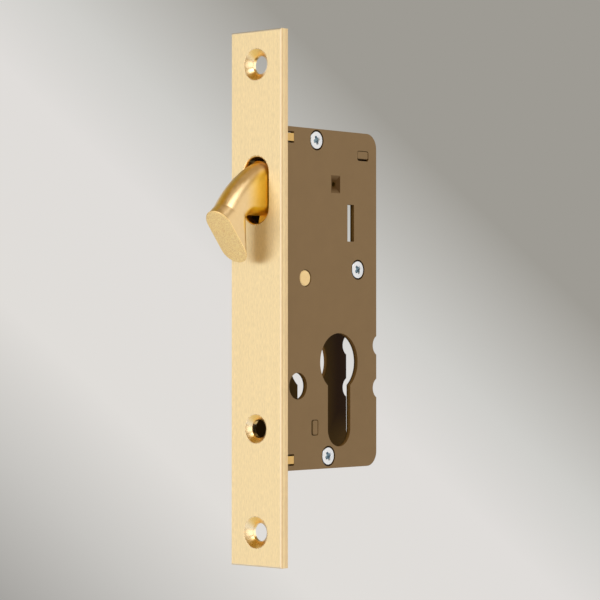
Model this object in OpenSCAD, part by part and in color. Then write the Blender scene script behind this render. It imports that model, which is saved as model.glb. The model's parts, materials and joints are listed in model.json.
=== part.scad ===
// Mortise lock for a sliding door: a hook bolt worked by a profile cylinder, in a two-plate case.
// Millimetres. The origin is the centre of the forend's front face. The case runs back along +Y,
// up is +Z, and the cover plate with its screws is on the +X side.
// The hook is drawn thrown, as it stands at rest, and turns about the hook pin to draw back.

/* [Forend] */
// Length of the forend
forend_h = 158; // [152:1:176]
// Width of the forend
forend_w = 20; // [19:0.5:26]
// Thickness of the forend
forend_t = 3; // [2.5:0.1:3.5]
// Chamfer on the forend's front edges
forend_edge = 0.4; // [0.2:0.1:0.8]
// Fixing holes' distance from the forend's ends
fix_inset = 10; // [8:0.5:13]
// Fixing hole diameter
fix_hole_d = 5.5; // [4.5:0.1:6]
// Fixing hole countersink diameter
fix_sink_d = 9.3; // [8:0.1:11]
// Cylinder screw hole diameter
screw_hole_d = 5.5; // [5.1:0.1:6]
// Cylinder screw countersink diameter
screw_sink_d = 8.5; // [7:0.1:9.5]
// Chamfer around the hook's slot
slot_edge = 0.3; // [0.1:0.1:0.5]

/* [Case] */
// Height of the case plates
case_h = 101.8; // [101:0.5:112]
// Thickness of the case over both plates
case_w = 13.6; // [12.8:0.1:15]
// Thickness of each case plate
plate_t = 1.5; // [1.2:0.1:1.8]
// Case depth behind the cylinder's axis
rear_depth = 17.7; // [17:0.1:20]
// Radius of the rear corners
corner_r = 4.5; // [2:0.5:8]

/* [Cylinder] */
// Backset, from the forend's face to the cylinder's axis
backset = 30; // [29:0.5:33]
// Cylinder axis above the plates' lower edge
cyl_rise = 31.9; // [31.4:0.1:32.4]
// Radius of the cylinder cut-out
cyl_r = 8.75; // [8.6:0.05:9]
// Width of the cut-out's leg
leg_w = 10.5; // [10.2:0.1:11]
// Depth of the leg's end below the axis
leg_drop = 25.5; // [24.8:0.1:25.8]
// Cylinder screw below the axis
screw_drop = 19.5; // [19:0.1:20]
// Rose bolt hole diameter
rose_hole_d = 8; // [7:0.1:8.6]
// Rose bolt hole in front of the axis
rose_reach = 18.8; // [18.4:0.1:19.5]
// Rose bolt hole below the axis
rose_drop = 7; // [6:0.1:8]
// Radius of the two rear notches
notch_r = 3.25; // [2.5:0.05:4]
// Notch centres behind the plates' rear edge
notch_out = 1.55; // [0.5:0.05:2.2]
// Upper notch above the cylinder's axis
notch_hi = 5; // [3:0.1:7]
// Lower notch below the cylinder's axis
notch_lo = 8.1; // [7:0.1:10]
// Reach of the cylinder's cam from its axis
cam_reach = 15.3; // [15:0.1:15.6]

/* [Hook] */
// Hook pin's axis behind the forend's face
pivot_y = 14.5; // [14:0.1:15]
// Hook pin's axis above the forend's centre
pivot_z = 6.1; // [5.6:0.1:6.6]
// Angle that draws the hook back
throw_deg = 39; // [36:0.5:40]
// Width of the hook across the lock
hook_w = 9.2; // [8.4:0.1:9.4]
// Radius of the hook's back about its pin
hook_back_r = 36.8; // [36.2:0.1:37]
// Radius of the beak's lower tip about the hook pin
tip_r = 21.75; // [21.5:0.05:22]
// Depth of the drawn hook's end face behind the forend's face
end_inset = 0.5; // [0.3:0.1:1]
// Underside of the hook's neck above its pin
neck_z = 18.3; // [17.5:0.1:19]
// Beak's inner side in front of the hook pin, at the throat
throat_y = 22; // [21.6:0.1:22.6]
// Fillet in the hook's throat
throat_fillet = 2.8; // [1.5:0.1:4]
// Width of the hook's web inside the case
web_w = 5; // [4:0.1:5.4]
// Diameter of the hook's hub
hub_d = 12; // [10.5:0.5:13]
// Diameter of the hook pin
pin_d = 5.1; // [4.6:0.1:5.6]
// Width of the tail that the cylinder's cam pushes
tail_w = 5; // [4.4:0.1:5.6]
// Angle of the tail ahead of the line to the cylinder's axis
tail_lead = 15.6; // [13:0.1:18]

/* [Locking slide] */
// Thickness of the slide
slide_t = 1.8; // [1.4:0.1:2]
// Lift of the slide
slide_lift = 4.8; // [4:0.1:5]
// Radius of the locking pin on the tail
lock_pin_r = 1.5; // [1.2:0.05:1.6]
// Locking pin's distance from the hook pin
lock_pin_at = 13; // [12.6:0.1:13.4]
// Diameter of the bush that guides the slide
bush_d = 7; // [6.8:0.1:7.6]
// Wire of the slide's spring
wire_d = 0.6; // [0.5:0.05:0.7]
// Outside diameter of the slide's spring
coil_d = 4.6; // [4.2:0.1:5]
// Turns of the slide's spring
coil_turns = 6; // [5:1:7]

/* [Posts and lugs] */
// Diameter of the three posts
post_d = 6; // [5.6:0.1:6.6]
// Diameter of the posts' riveted ends
rivet_d = 4; // [3:0.1:4.6]
// Diameter of the spacer sleeve on the rear post
sleeve_d = 8.4; // [8:0.1:9]
// Thread diameter of the cover screws
cover_screw_d = 3; // [2.6:0.1:3.4]
// Head diameter of the cover screws
screw_head_d = 5.6; // [5:0.1:6]
// Length of the cover screws
cover_screw_l = 8; // [6:0.5:9]
// Height of the lugs on the forend
lug_h = 2.3; // [2:0.1:3]
// Reach of the lugs behind the forend
lug_reach = 6.3; // [5:0.1:7]
// Lugs' distance from the plates' ends
lug_inset = 3.15; // [2.5:0.05:4]

/* [Hidden] */
$fn = 64;

// How far a cutter runs past the faces that it cuts
past = 1;
// Gap of a pressed or riveted seat, of a turning fit, at a flat end, and of parts that slide past
seat = 0.02;
running = 0.05;
end_gap = 0.1;
sliding = 0.3;

// The case
half_w = case_w / 2;
inner_w = half_w - plate_t;
case_y = backset + rear_depth;
cyl_z = cyl_rise - case_h / 2;
screw_z = cyl_z - screw_drop;

// Posts, each placed from the pin, the cylinder or the plates' ends
upper_post_back = 5.2;
upper_post_inset = 3.4;
rear_post_back = 8.9;
rear_post_rise = 3;
lower_post_front = 5;
lower_post_inset = 3.7;
upper_at = [pivot_y + upper_post_back, case_h / 2 - upper_post_inset];
rear_at = [backset + rear_post_back, pivot_z + rear_post_rise];
lower_at = [backset - lower_post_front, lower_post_inset - case_h / 2];
posts_at = [upper_at, rear_at, lower_at];
screw_bore_d = cover_screw_d + 0.1;
cover_hole_d = cover_screw_d + 0.3;
head_gap = 0.3;

// Crossbars, each held by a tenon in both plates: centre, tenon and shoulder. The tenons have round
// corners, and each window has some slack on one side of its tenon.
bar_back = 11.3;
bar_inset = 6.8;
bar_at = [backset + bar_back, case_h / 2 - bar_inset];
bar_tenon = [5.2, 2.7];
bar_body = [6.4, 3.6];
guide_front = 11.05;
guide_at = [backset - guide_front, screw_z];
guide_tenon = [2.7, 4.6];
guide_body = [3.5, 11];
tenon_r = 0.7;
window_slack = 0.3;

// Spare slot in both plates, for other locks on the same plates
spare_back = 5.5;
spare_rise = 17.1;
spare_at = [backset + spare_back, pivot_z + spare_rise];
spare_size = [3.1, 11.2];

// Shallow pyramid dimples that stiffen the plates, each with a small hole at its tip
dimple_back = 13.9;
dimple_rise = 28.6;
dimple_at = [pivot_y + dimple_back, pivot_z + dimple_rise];
dimple_size = [4.3, 5.4];
dimple_tip = [1.1, 1.5];
dimple_deep = 0.9;
dimple_hole_d = 1.4;

// Lugs on the back of the forend, each with two pegs pressed into it
lug_z = case_h / 2 - lug_inset;
lug_notch_gap = 0.55;
lug_peg_d = 2;
lug_peg_x = 4;
lug_peg_l = 2;

// Slot for the hook: its ends follow the radii that pass through it
slot_gap = 0.3;
slot_w = hook_w + 2 * slot_gap;
back_gap = 0.65;
slot_top = pivot_z + sqrt(pow(hook_back_r + back_gap, 2) - pow(pivot_y - forend_t, 2));
slot_bottom = pivot_z + sqrt(pow(tip_r - slot_gap, 2) - pow(pivot_y, 2));

// The hook, about its pin and as it stands at rest: y behind the pin, z above it.
// Drawn back, its end face is upright, just behind the forend's face.
end_y = pivot_y - end_inset;
flat_z = slot_top - pivot_z - slot_gap;
end_top_deg = atan2(flat_z, end_y) - throw_deg;
flat_deg = asin(flat_z / hook_back_r) - throw_deg;
neck_deg = 68.5;
neck_root_y = 7;
web_back_r = hook_back_r - 0.9;
web_root_y = hub_d / 2 - 0.6;
heel_y = pivot_y - forend_t - end_gap;
heel_z = [8.5, 14];
scallop_at = [12, 31];
scallop_r = 15;

// Turns a point given on the drawn hook to its place at rest
function thrown(p) = [p[0] * cos(throw_deg) - p[1] * sin(throw_deg),
                      p[0] * sin(throw_deg) + p[1] * cos(throw_deg)];
function unit(v) = v / norm(v);
function left_of(v) = [-v[1], v[0]];
// Point at a radius and an angle above the line from the hook pin to the forend
function polar(r, a) = r * [-cos(a), sin(a)];
tip_low = thrown([-end_y, sqrt(pow(tip_r, 2) - pow(end_y, 2))]);

// The hook's back: an arc about the pin, then a flat that lies level once the hook is drawn
function back_point(a) = polar(max(hook_back_r, flat_z / sin(a + throw_deg)), a);
function back_normal(a) = a < flat_deg ? thrown([0, 1]) : polar(1, a);
arc_steps = 13;
flat_steps = 4;
back_deg = concat([for (i = [0 : arc_steps]) neck_deg + (flat_deg - neck_deg) * i / arc_steps],
                  [for (i = [1 : flat_steps]) flat_deg + (end_top_deg - flat_deg) * i / flat_steps]);

// The hook's front, as points and outward normals: along the neck's underside, round the fillet of
// the throat and down the beak to its tip
beak_dir = unit(tip_low - [-throat_y, neck_z]);
fillet_turn = 90 + asin(beak_dir[0]);
fillet_c = [throat_fillet * tan(fillet_turn / 2) - throat_y, neck_z - throat_fillet];
beak_top = fillet_c - throat_fillet * left_of(beak_dir);
neck_run = -fillet_c[0] - neck_root_y;
neck_steps = 5;
fillet_steps = 6;
beak_steps = 6;
front = concat(
    [for (i = [0 : neck_steps - 1]) [[-neck_root_y - neck_run * i / neck_steps, neck_z], [0, -1]]],
    [for (i = [0 : fillet_steps]) let (n = polar(1, -90 - fillet_turn * i / fillet_steps))
        [fillet_c - throat_fillet * n, n]],
    [for (i = [1 : beak_steps]) [beak_top + (tip_low - beak_top) * i / beak_steps, left_of(beak_dir)]]);

// Each section of the beak and neck is long from front to back and round at both ends. The rounding
// is as deep as makes the end face an oblong with half-round ends.
round_steps = 12;
end_dir = unit(back_point(end_top_deg) - tip_low);
front_depth = hook_w / 2 * abs(end_dir * left_of(beak_dir));
function ring(i) = let (
        p = front[i][0], q = back_point(back_deg[i]), t = unit(q - p),
        deep_front = front_depth / abs(t * front[i][1]),
        deep_back = hook_w / 2 / abs(t * back_normal(back_deg[i])),
        long = norm(q - p))
    concat([for (k = [0 : round_steps]) let (a = 180 * k / round_steps, s = long - deep_back * (1 - sin(a)),
                c = p + s * t) [hook_w / 2 * cos(a), c[0], c[1]]],
           [for (k = [0 : round_steps]) let (a = 180 * k / round_steps, s = deep_front * (1 - sin(a)),
                c = p + s * t) [-hook_w / 2 * cos(a), c[0], c[1]]]);

// The tail: its angle below level at rest, and its end clear of the cylinder's body
cyl_from_pin = [backset - pivot_y, cyl_z - pivot_z];
tail_deg = atan2(-cyl_from_pin[1], cyl_from_pin[0]) - tail_lead;
tail_clear = 0.45;
tail_end = norm(cyl_from_pin) - cyl_r - tail_clear;
hub_x = [-web_w / 2 - 0.35, inner_w - 0.85];
washer_x = [hub_x[1] + end_gap, inner_w - end_gap];
washer_d = 9;

// The locking slide, against the back plate: faces, and the bush and sleeve that keep it there
slide_x = [-inner_w + 0.15, -inner_w + 0.15 + slide_t];
bush_x = [-inner_w + seat, hub_x[0] - end_gap];
sleeve_x = [slide_x[1] + 0.2, inner_w - end_gap];
belly_z = cyl_z + cam_reach - slide_lift;
slot_play = 0.1;
rim = 2.5;

// The locking pin's centre about the hook pin, and its path in the slide as both move together
function lock_pin_at_deg(a) = [pivot_y, pivot_z] + lock_pin_at * [cos(tail_deg + a), -sin(tail_deg + a)];
function lock_path(a) = lock_pin_at_deg(a) - [0, slide_lift * a / throw_deg];
function lock_flank(a) = lock_path(a) - (lock_pin_r + sliding) * left_of(unit(lock_path(a + 1) - lock_path(a)));
pocket = lock_pin_r + sliding;
thrown_pin = lock_pin_at_deg(0);
drawn_pin = lock_pin_at_deg(throw_deg);
flank_steps = 5;
flank_share = 0.6;
tab_drop = 12;
tab_z = bar_at[1] - tab_drop;
tab_x = 1.3;

// The slide's spring, between its tab and the spring bar, and the stem that holds it in line
spring_x = -1.2;
spring_z = [tab_z, bar_at[1] - bar_body[1] / 2];
stem_d = coil_d - 2 * wire_d - 0.8;
stem_l = 4;
stem_foot_d = 1.6;
coil_rings = 8;
coil_sides = 6;
coil_r = (coil_d - wire_d) / 2;
coil_n = coil_rings * coil_turns;
coil_rise = spring_z[1] - spring_z[0] - wire_d - 2 * running;
// The first and last turns rise less than the rest
end_pitch = 1.05;
mid_pitch = (coil_rise - 2 * end_pitch) / (coil_turns - 2);
function coil_z(t) = spring_z[0] + running + wire_d / 2
    + end_pitch * (min(t, 1) + max(t - coil_turns + 1, 0))
    + mid_pitch * min(max(t - 1, 0), coil_turns - 2);
function coil_point(i) = let (t = i / coil_rings)
    [spring_x + coil_r * cos(360 * t), bar_at[0] + coil_r * sin(360 * t), coil_z(t)];
function coil_ring(i) = let (c = coil_point(i), out = unit([c[0] - spring_x, c[1] - bar_at[0], 0]))
    [for (k = [0 : coil_sides - 1]) let (a = 360 * k / coil_sides)
        c + wire_d / 2 * (cos(a) * out + [0, 0, sin(a)])];
coil_gap = min([for (i = [0 : coil_n - coil_rings]) norm(coil_point(i + coil_rings) - coil_point(i))])
    - wire_d;
echo(least_gap_between_the_springs_turns = coil_gap);

// A cylinder along X from one x to another, centred on [y, z]
module along_x(at, d, x) {
    translate([x[0], at[0], at[1]]) rotate([0, 90, 0]) cylinder(d = d, h = x[1] - x[0]);
}
// A box from one x to another, centred on [y, z]
module bar_x(at, size, x) {
    translate([x[0], at[0] - size[0] / 2, at[1] - size[1] / 2]) cube([x[1] - x[0], size[0], size[1]]);
}
// A flat outline in y and z with thickness along X
module slab(x) translate([x[0], 0, 0]) rotate([90, 0, 90]) linear_extrude(x[1] - x[0]) children();
// A flat rectangle from one corner to the other
module patch(a, b) translate(a) square(b - a);
// A flat rectangle with round corners, from its centre and size
module soft_patch(at, size) {
    h = size / 2;
    r = tenon_r;
    patch(at - h + [r, 0], at + h - [r, 0]);
    patch(at - h + [0, r], at + h - [0, r]);
    for (y = [r - h[0], h[0] - r], z = [r - h[1], h[1] - r]) translate(at + [y, z]) circle(r = r);
}
// A flat upright slot: its upper end's centre, width and the distance between the ends' centres
module upright_slot(at, w, run) {
    translate(at) circle(d = w);
    translate(at - [0, run]) circle(d = w);
    patch(at - [w / 2, run], at + [w / 2, 0]);
}
// A closed tube through rings of equally many points
module tube(rings) {
    n = len(rings[0]);
    last = len(rings) - 1;
    sides = [for (j = [0 : last - 1]) for (k = [0 : n - 1]) let (k2 = (k + 1) % n)
        each [[j * n + k, (j + 1) * n + k, (j + 1) * n + k2], [j * n + k, (j + 1) * n + k2, j * n + k2]]];
    caps = [[for (k = [0 : n - 1]) k], [for (k = [0 : n - 1]) last * n + n - 1 - k]];
    polyhedron(points = [for (r = rings) each r], faces = concat(sides, caps));
}

// A countersunk hole through the forend at a height
module forend_hole(z, d, sink_d) {
    translate([0, -past, z]) rotate([-90, 0, 0]) cylinder(d = d, h = forend_t + 2 * past);
    translate([0, -past, z]) rotate([-90, 0, 0])
        cylinder(d1 = sink_d + 2 * past, d2 = d - 2 * past, h = past + (sink_d - d) / 2 + past);
}

// The hook's slot through the forend, with a chamfered front edge
module hook_slot() {
    ends = [slot_bottom + slot_w / 2, slot_top - slot_w / 2];
    wide = slot_w / 2 + slot_edge + past;
    for (z = ends) {
        translate([0, -past, z]) rotate([-90, 0, 0]) cylinder(d = slot_w, h = forend_t + 2 * past);
        translate([0, -past, z]) rotate([-90, 0, 0]) cylinder(r1 = wide, r2 = 0, h = wide);
    }
    translate([-slot_w / 2, -past, ends[0]]) cube([slot_w, forend_t + 2 * past, ends[1] - ends[0]]);
    translate([0, 0, ends[0]]) linear_extrude(ends[1] - ends[0])
        polygon([[-wide, -past], [wide, -past], [0, wide - past]]);
}

module forend() {
    c = forend_edge;
    w = forend_w / 2;
    h = forend_h / 2;
    color([0.93, 0.83, 0.64]) difference() {
        intersection() {
            translate([0, 0, -h]) linear_extrude(2 * h)
                polygon([[-w, forend_t], [-w, c], [c - w, 0], [w - c, 0], [w, c], [w, forend_t]]);
            translate([-w, 0, 0]) rotate([90, 0, 90]) linear_extrude(2 * w)
                polygon([[forend_t, -h], [c, -h], [0, c - h], [0, h - c], [c, h], [forend_t, h]]);
        }
        for (s = [-1, 1]) forend_hole(s * (forend_h / 2 - fix_inset), fix_hole_d, fix_sink_d);
        forend_hole(screw_z, screw_hole_d, screw_sink_d);
        hook_slot();
        for (z = [-lug_z, lug_z], x = [-lug_peg_x, lug_peg_x]) lug_peg([x, z], seat);
    }
}

// A lug's peg, and the blind hole for it when given a gap
module lug_peg(at, gap) {
    translate([at[0], forend_t + past, at[1]]) rotate([90, 0, 0])
        cylinder(d = lug_peg_d + 2 * gap, h = lug_peg_l + past + (gap > 0 ? end_gap : 0));
}

module lug(z) {
    color([0.85, 0.68, 0.38]) {
        translate([-half_w, forend_t, z - lug_h / 2]) cube([case_w, lug_reach, lug_h]);
        for (x = [-lug_peg_x, lug_peg_x]) lug_peg([x, z], 0);
    }
}
module upper_lug() lug(lug_z);
module lower_lug() lug(-lug_z);

// Outline of both plates with the openings that they share
module plate_outline() {
    difference() {
        union() {
            patch([forend_t, -case_h / 2], [case_y - corner_r, case_h / 2]);
            patch([forend_t, corner_r - case_h / 2], [case_y, case_h / 2 - corner_r]);
            for (s = [-1, 1]) translate([case_y - corner_r, s * (case_h / 2 - corner_r)]) circle(r = corner_r);
        }
        translate([backset, cyl_z]) circle(r = cyl_r);
        upright_slot([backset, cyl_z], leg_w, leg_drop - leg_w / 2);
        translate([backset - rose_reach, cyl_z - rose_drop]) circle(d = rose_hole_d);
        for (z = [notch_hi, -notch_lo]) translate([case_y + notch_out, cyl_z + z]) circle(r = notch_r);
        translate(spare_at) square(spare_size, center = true);
        soft_patch(bar_at - [0, window_slack / 2], bar_tenon + [2 * running, 2 * running + window_slack]);
        soft_patch(guide_at - [window_slack / 2, 0], guide_tenon + [2 * running + window_slack, 2 * running]);
        for (z = [-lug_z, lug_z]) patch([forend_t - past, z - lug_h / 2 - lug_notch_gap],
            [forend_t + lug_reach + end_gap, z + lug_h / 2 + lug_notch_gap]);
        translate([pivot_y, pivot_z]) circle(d = pin_d + 2 * seat);
    }
}

// A four-sided frustum pointing inward from one x to another, with its size at each end
module pyramid(x, size, tip) {
    s = size / 2;
    t = tip / 2;
    translate([0, dimple_at[0], dimple_at[1]]) polyhedron(
        points = [[x[0], -s[0], -s[1]], [x[0], s[0], -s[1]], [x[0], s[0], s[1]], [x[0], -s[0], s[1]],
                  [x[1], -t[0], -t[1]], [x[1], t[0], -t[1]], [x[1], t[0], t[1]], [x[1], -t[0], t[1]]],
        faces = [[0, 1, 2, 3], [7, 6, 5, 4], [0, 4, 5, 1], [1, 5, 6, 2], [2, 6, 7, 3], [3, 7, 4, 0]]);
}

// A plate on the +X side with its dimple pressed in
module plate() {
    slope = (dimple_size - dimple_tip) / dimple_deep;
    difference() {
        union() {
            slab([inner_w, half_w]) plate_outline();
            pyramid([inner_w, inner_w - dimple_deep], dimple_size, dimple_tip + [0.8, 0.8]);
        }
        pyramid([half_w + past, half_w - dimple_deep], dimple_size + slope * past, dimple_tip);
        along_x(dimple_at, dimple_hole_d, [inner_w - dimple_deep - past, half_w]);
    }
}

module cover_plate() {
    sink = screw_head_d + 2 * head_gap;
    deep = (sink - cover_hole_d) / 2;
    color([0.51, 0.42, 0.3]) difference() {
        plate();
        for (p = posts_at) {
            along_x(p, cover_hole_d, [inner_w - past, half_w + past]);
            translate([half_w - deep, p[0], p[1]]) rotate([0, 90, 0])
                cylinder(d1 = cover_hole_d, d2 = sink + 2 * past, h = deep + past);
        }
    }
}

module back_plate() {
    color([0.51, 0.42, 0.3]) difference() {
        mirror([1, 0, 0]) plate();
        for (p = posts_at) along_x(p, rivet_d + 2 * seat, [-half_w - past, past - inner_w]);
    }
}

// A post between the plates, riveted into the back plate and tapped for a cover screw
module post(at) {
    color([0.7, 0.7, 0.7]) difference() {
        union() {
            along_x(at, post_d, [-inner_w, inner_w]);
            along_x(at, rivet_d, [-half_w, past - inner_w]);
        }
        along_x(at, screw_bore_d, [half_w - cover_screw_l - 2 * end_gap, half_w]);
    }
}
module upper_post() post(upper_at);
module rear_post() post(rear_at);
module lower_post() post(lower_at);

// Countersunk screws, their heads flush with the cover plate
module cover_screws() {
    head = (screw_head_d - cover_screw_d) / 2;
    color([0.88, 0.89, 0.9]) for (p = posts_at) {
        along_x(p, cover_screw_d, [half_w - cover_screw_l, half_w - head]);
        translate([half_w - head, p[0], p[1]]) rotate([0, 90, 0])
            cylinder(d1 = cover_screw_d, d2 = screw_head_d, h = head);
    }
}

// A crossbar between the plates with a tenon through each
module crossbar(at, body, tenon) {
    bar_x(at, body, [-inner_w, inner_w]);
    slab([-half_w, half_w]) soft_patch(at, tenon);
}
module spring_bar() color([0.45, 0.37, 0.27]) crossbar(bar_at, bar_body, bar_tenon);
module screw_guide() {
    color([0.45, 0.37, 0.27]) difference() {
        crossbar(guide_at, guide_body, guide_tenon);
        translate([0, guide_at[0] - guide_body[0] / 2 - past, guide_at[1]]) rotate([-90, 0, 0])
            cylinder(d = screw_hole_d, h = guide_body[0] + 2 * past);
    }
}

module hook_pin() color([0.86, 0.66, 0.36]) along_x([pivot_y, pivot_z], pin_d, [-half_w, half_w]);

// A ring on the hook pin
module pin_ring(d, x) {
    difference() {
        along_x([pivot_y, pivot_z], d, x);
        along_x([pivot_y, pivot_z], pin_d + 2 * running, [x[0] - past, x[1] + past]);
    }
}
module slide_bush() color([0.72, 0.6, 0.4]) pin_ring(bush_d, bush_x);
module pivot_washer() color([0.75, 0.75, 0.75]) pin_ring(washer_d, washer_x);

module rear_sleeve() {
    color([0.75, 0.75, 0.75]) difference() {
        along_x(rear_at, sleeve_d, sleeve_x);
        along_x(rear_at, post_d + 2 * running, [sleeve_x[0] - past, sleeve_x[1] + past]);
    }
}

module slide_spring() color([0.6, 0.6, 0.62]) tube([for (i = [0 : coil_n]) coil_ring(i)]);

// The hook's web: an arm from the hub to the neck with a heel that rests on the forend's back, and
// the tail that reaches down over the cylinder
module web_outline() {
    circle(d = hub_d);
    difference() {
        intersection() {
            circle(r = web_back_r);
            polygon([[-web_root_y, 0], [-heel_y, heel_z[0]], [-heel_y, heel_z[1]],
                [-neck_root_y - 3, neck_z + 1], polar(hook_back_r + 3, neck_deg - 1.5),
                polar(hook_back_r + 3, 90), [web_root_y, neck_z], [web_root_y, 0]]);
        }
        translate(scallop_at) circle(r = scallop_r);
    }
    rotate(-tail_deg) {
        translate([0, -tail_w / 2]) square([tail_end - tail_w / 2, tail_w]);
        translate([tail_end - tail_w / 2, 0]) circle(d = tail_w);
    }
}

module hook() {
    color([0.86, 0.68, 0.36]) difference() {
        translate([0, pivot_y, pivot_z]) {
            slab([-web_w / 2, web_w / 2]) web_outline();
            along_x([0, 0], hub_d, hub_x);
            tube([for (i = [0 : len(front) - 1]) ring(i)]);
        }
        along_x([pivot_y, pivot_z], pin_d + 2 * running, [-half_w, half_w]);
        along_x(thrown_pin, 2 * (lock_pin_r + seat), [-half_w, half_w]);
    }
}

module locking_pin() {
    color([0.7, 0.7, 0.7]) along_x(thrown_pin, 2 * lock_pin_r, [slide_x[0], web_w / 2]);
}

// The slide: slots for the bush and the rear post, a belly over the cylinder's cam, and a gate with
// a pocket for the locking pin in each place of the hook and a tooth between them
module slide_outline() {
    left_y = pivot_y - bush_d / 2 - rim;
    right_y = rear_at[0] + post_d / 2 + rim;
    hump_z = pivot_z + bush_d / 2 + rim;
    // Below the spare slot even when lifted
    shelf_z = spare_at[1] - spare_size[1] / 2 - slide_lift - end_gap;
    flank = [for (i = [0 : flank_steps]) lock_flank(throw_deg * flank_share * (1 - i / flank_steps))];
    difference() {
        polygon(concat(
            [[left_y, drawn_pin[1] - lock_pin_r], [drawn_pin[0] - pocket, drawn_pin[1] - lock_pin_r],
             [drawn_pin[0] - pocket, drawn_pin[1] + pocket], [drawn_pin[0] + pocket, drawn_pin[1] + pocket],
             [drawn_pin[0] + pocket, flank[0][1]]],
            flank,
            [[flank[flank_steps][0], thrown_pin[1] + pocket], thrown_pin + [pocket, pocket],
             [thrown_pin[0] + pocket, belly_z], [backset + 6.5, belly_z], [right_y, belly_z + 9],
             [right_y, tab_z], [bar_at[0] - rim, tab_z], [bar_at[0] - rim, shelf_z + rim],
             [spare_at[0] + spare_size[0] / 2 + sliding, shelf_z], [rear_at[0] - post_d / 2 - rim, shelf_z],
             [pivot_y + bush_d / 2 + rim, hump_z], [left_y, hump_z]]));
        upright_slot([pivot_y, pivot_z + slot_play], bush_d + 2 * running, slide_lift + 2 * slot_play);
        upright_slot(rear_at + [0, slot_play], post_d + 2 * running, slide_lift + 2 * slot_play);
    }
}

module locking_slide() {
    right_y = rear_at[0] + post_d / 2 + rim;
    color([0.66, 0.66, 0.68]) difference() {
        union() {
            slab(slide_x) slide_outline();
            translate([slide_x[0], bar_at[0] - rim, tab_z - slide_t])
                cube([tab_x - slide_x[0], right_y - bar_at[0] + rim, slide_t]);
        }
        translate([spring_x, bar_at[0], tab_z - slide_t - past])
            cylinder(d = stem_foot_d + 2 * seat, h = slide_t + 2 * past);
    }
}

module spring_stem() {
    color([0.7, 0.7, 0.7]) translate([spring_x, bar_at[0], tab_z]) {
        cylinder(d = stem_d, h = stem_l);
        translate([0, 0, -slide_t]) cylinder(d = stem_foot_d, h = slide_t + past);
    }
}

forend();
upper_lug();
lower_lug();
back_plate();
cover_plate();
upper_post();
rear_post();
lower_post();
cover_screws();
spring_bar();
screw_guide();
hook_pin();
slide_bush();
pivot_washer();
rear_sleeve();
slide_spring();
hook();
locking_pin();
locking_slide();
spring_stem();
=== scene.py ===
"""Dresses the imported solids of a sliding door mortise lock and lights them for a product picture.

The lock stands free: a brushed brass forend carries a two-plate case painted bronze brown, and a
round-backed hook bolt stands out of the forend's slot. Lengths are in metres, unless a name ends in _mm
or a class says that its own are in millimetres.
"""

from __future__ import annotations

import logging
import math
from dataclasses import dataclass
from enum import Enum
from functools import cache, reduce

import bmesh
import bpy
import numpy as np
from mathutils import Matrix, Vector
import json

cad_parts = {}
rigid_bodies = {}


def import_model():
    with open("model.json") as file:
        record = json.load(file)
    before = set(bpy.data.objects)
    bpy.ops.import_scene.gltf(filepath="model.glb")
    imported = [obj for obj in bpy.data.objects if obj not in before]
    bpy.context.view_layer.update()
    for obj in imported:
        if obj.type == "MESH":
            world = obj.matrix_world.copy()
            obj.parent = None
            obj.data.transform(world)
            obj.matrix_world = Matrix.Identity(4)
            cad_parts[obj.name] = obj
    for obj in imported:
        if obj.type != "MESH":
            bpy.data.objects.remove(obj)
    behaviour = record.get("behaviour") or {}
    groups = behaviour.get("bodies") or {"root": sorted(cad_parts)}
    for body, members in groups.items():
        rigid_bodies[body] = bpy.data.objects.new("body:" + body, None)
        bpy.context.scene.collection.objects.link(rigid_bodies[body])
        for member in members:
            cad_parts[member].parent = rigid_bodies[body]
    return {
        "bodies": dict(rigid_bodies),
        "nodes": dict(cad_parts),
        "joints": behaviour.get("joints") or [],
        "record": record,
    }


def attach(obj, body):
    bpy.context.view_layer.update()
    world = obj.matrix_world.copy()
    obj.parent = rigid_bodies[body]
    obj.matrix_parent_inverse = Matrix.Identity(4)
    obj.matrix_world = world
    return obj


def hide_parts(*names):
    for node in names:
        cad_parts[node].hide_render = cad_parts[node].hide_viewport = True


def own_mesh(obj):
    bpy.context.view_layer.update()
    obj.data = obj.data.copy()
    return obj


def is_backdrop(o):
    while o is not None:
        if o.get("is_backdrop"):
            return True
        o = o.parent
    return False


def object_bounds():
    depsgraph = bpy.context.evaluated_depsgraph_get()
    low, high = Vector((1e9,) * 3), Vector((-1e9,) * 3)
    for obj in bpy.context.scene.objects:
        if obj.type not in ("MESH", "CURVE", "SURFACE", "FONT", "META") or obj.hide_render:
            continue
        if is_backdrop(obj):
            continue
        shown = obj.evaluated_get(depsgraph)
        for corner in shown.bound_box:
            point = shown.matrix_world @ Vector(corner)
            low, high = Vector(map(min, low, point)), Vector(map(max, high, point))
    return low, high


LOG = logging.getLogger("lock")
MM = 0.001
UP = Vector((0.0, 0.0, 1.0))
Rgb = tuple[float, float, float]
Size = tuple[float, float, float]
Span = tuple[float, float]
Socket = bpy.types.NodeSocket
Material = bpy.types.Material
Piece = bpy.types.Object
# The parts of a noise's range that carry a finish from its one end to its other
SHARP_NOISE = (0.3, 0.7)
SOFT_NOISE = (0.25, 0.75)


def linear(*shown: float) -> Rgb:
    """Turns a colour as a screen shows it into the linear one that Blender computes with.

    The formula is the usual screen curve: a straight line near black, and a power of 2.4 above it.

    Args:
        shown: Red, green and blue from 0 to 255.

    Returns:
        The three linear values from 0 to 1.
    """
    part = np.array(shown) / 255.0
    curve = np.where(part <= 0.04045, part / 12.92, ((part + 0.055) / 1.055) ** 2.4)
    return tuple(float(v) for v in curve)


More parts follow.
